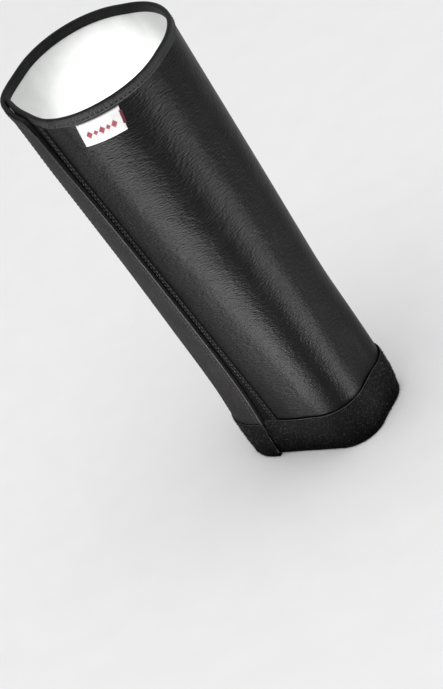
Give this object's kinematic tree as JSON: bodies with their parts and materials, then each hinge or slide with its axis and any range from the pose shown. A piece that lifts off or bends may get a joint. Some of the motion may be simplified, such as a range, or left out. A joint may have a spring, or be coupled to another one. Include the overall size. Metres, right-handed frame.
{
  "type": "snoot",
  "caption": "Roll-up flash snoot: a soft laminated tube from a rounded rectangular flash end to a round mouth, closed by a hook-and-loop flap.",
  "frame": {"origin": "centre of the flash end, on its rim plane", "axes": "+Z towards the round mouth; the long side of the flash end along X; the flap closes over the -Y face"},
  "size_m": [0.1177, 0.1161, 0.306],
  "materials": {
    "skin": "fine-grained synthetic leather, satin",
    "core": "closed-cell foam sheet",
    "lining": "white reflective nylon, fine weave",
    "binding": "ribbed woven binding tape",
    "pile_band": "brushed loop pile",
    "edge_tape": "ribbed woven tape",
    "hook_strip": "moulded nylon hooks",
    "loop_strip": "knitted loops",
    "label": "woven satin label",
    "bar_tack": "dense zigzag thread",
    "stay": "soft annealed strip"
  },
  "bodies": {
    "right": {"skin_right": "skin", "core_right": "core", "lining_right": "lining", "mouth_binding_right": "binding", "base_band_right": "pile_band", "stay_right": "stay"},
    "back_right": {"skin_back_right": "skin", "core_back_right": "core", "lining_back_right": "lining", "mouth_binding_back_right": "binding", "base_band_back_right": "pile_band"},
    "back": {"skin_back": "skin", "core_back": "core", "lining_back": "lining", "mouth_binding_back": "binding", "base_band_back": "pile_band", "stay_back": "stay"},
    "back_left": {"skin_back_left": "skin", "core_back_left": "core", "lining_back_left": "lining", "mouth_binding_back_left": "binding", "base_band_back_left": "pile_band"},
    "left": {"skin_left": "skin", "core_left": "core", "lining_left": "lining", "mouth_binding_left": "binding", "base_band_left": "pile_band", "stay_left": "stay"},
    "flap": {"skin_flap": "skin", "core_flap": "core", "lining_flap": "lining", "mouth_binding_flap": "binding", "base_band_flap": "pile_band", "flap_edge_tape": "edge_tape", "closure_hook_strip": "hook_strip"},
    "front_right": {"skin_front_right": "skin", "core_front_right": "core", "lining_front_right": "lining", "mouth_binding_front_right": "binding", "base_band_front_right": "pile_band", "label": "label", "label_bar_tack": "bar_tack"},
    "front": {"skin_front": "skin", "core_front": "core", "lining_front": "lining", "mouth_binding_front": "binding", "base_band_front": "pile_band", "closure_loop_strip_front": "loop_strip"},
    "inner_end": {"skin_inner_end": "skin", "core_inner_end": "core", "lining_inner_end": "lining", "mouth_binding_inner_end": "binding", "base_band_inner_end": "pile_band", "closure_loop_strip_inner": "loop_strip", "inner_edge_tape": "edge_tape"}
  },
  "joints": [
    {"name": "fold_right_back", "type": "hinge", "parent": "right", "child": "back_right", "pos_m": [0.04797, 0.01854, 0], "axis": [0.0234, 0.0002, -0.9997], "range_deg": [0, 10]},
    {"name": "fold_back_start", "type": "hinge", "parent": "back_right", "child": "back", "pos_m": [0.03604, 0.03047, 0], "axis": [0.076, -0.0525, -0.9957], "range_deg": [0, 10]},
    {"name": "fold_back_end", "type": "hinge", "parent": "back", "child": "back_left", "pos_m": [-0.03604, 0.03047, 0], "axis": [0.0034, -0.0526, -0.9986], "range_deg": [0, 50]},
    {"name": "unroll", "type": "hinge", "parent": "back_left", "child": "left", "pos_m": [-0.04797, 0.01854, 0], "axis": [0.0562, 0.0002, -0.9984], "range_deg": [0, 50]},
    {"name": "flap_peel", "type": "hinge", "parent": "left", "child": "flap", "pos_m": [-0.04764, -0.02022, 0], "axis": [0.0562, 0.0415, -0.9976], "range_deg": [0, 90]},
    {"name": "fold_right_front", "type": "hinge", "parent": "right", "child": "front_right", "pos_m": [0.04566, -0.02275, 0], "axis": [-0.0336, -0.0602, 0.9976], "range_deg": [0, 5]},
    {"name": "fold_front", "type": "hinge", "parent": "front_right", "child": "front", "pos_m": [0.03143, -0.03182, 0], "axis": [-0.0958, -0.0995, 0.9904], "range_deg": [0, 5]},
    {"name": "fold_inner", "type": "hinge", "parent": "front", "child": "inner_end", "pos_m": [-0.03164, -0.03047, 0], "axis": [-0.0034, -0.0941, 0.9956], "range_deg": [0, 20]}
  ],
  "couplings": [
    {"joint": "fold_right_back", "follows": "unroll", "ratio": 0.2},
    {"joint": "fold_back_start", "follows": "unroll", "ratio": 0.2},
    {"joint": "fold_back_end", "follows": "unroll", "ratio": 1},
    {"joint": "fold_right_front", "follows": "unroll", "ratio": 0.1},
    {"joint": "fold_front", "follows": "unroll", "ratio": 0.1},
    {"joint": "fold_inner", "follows": "unroll", "ratio": 0.4}
  ]
}
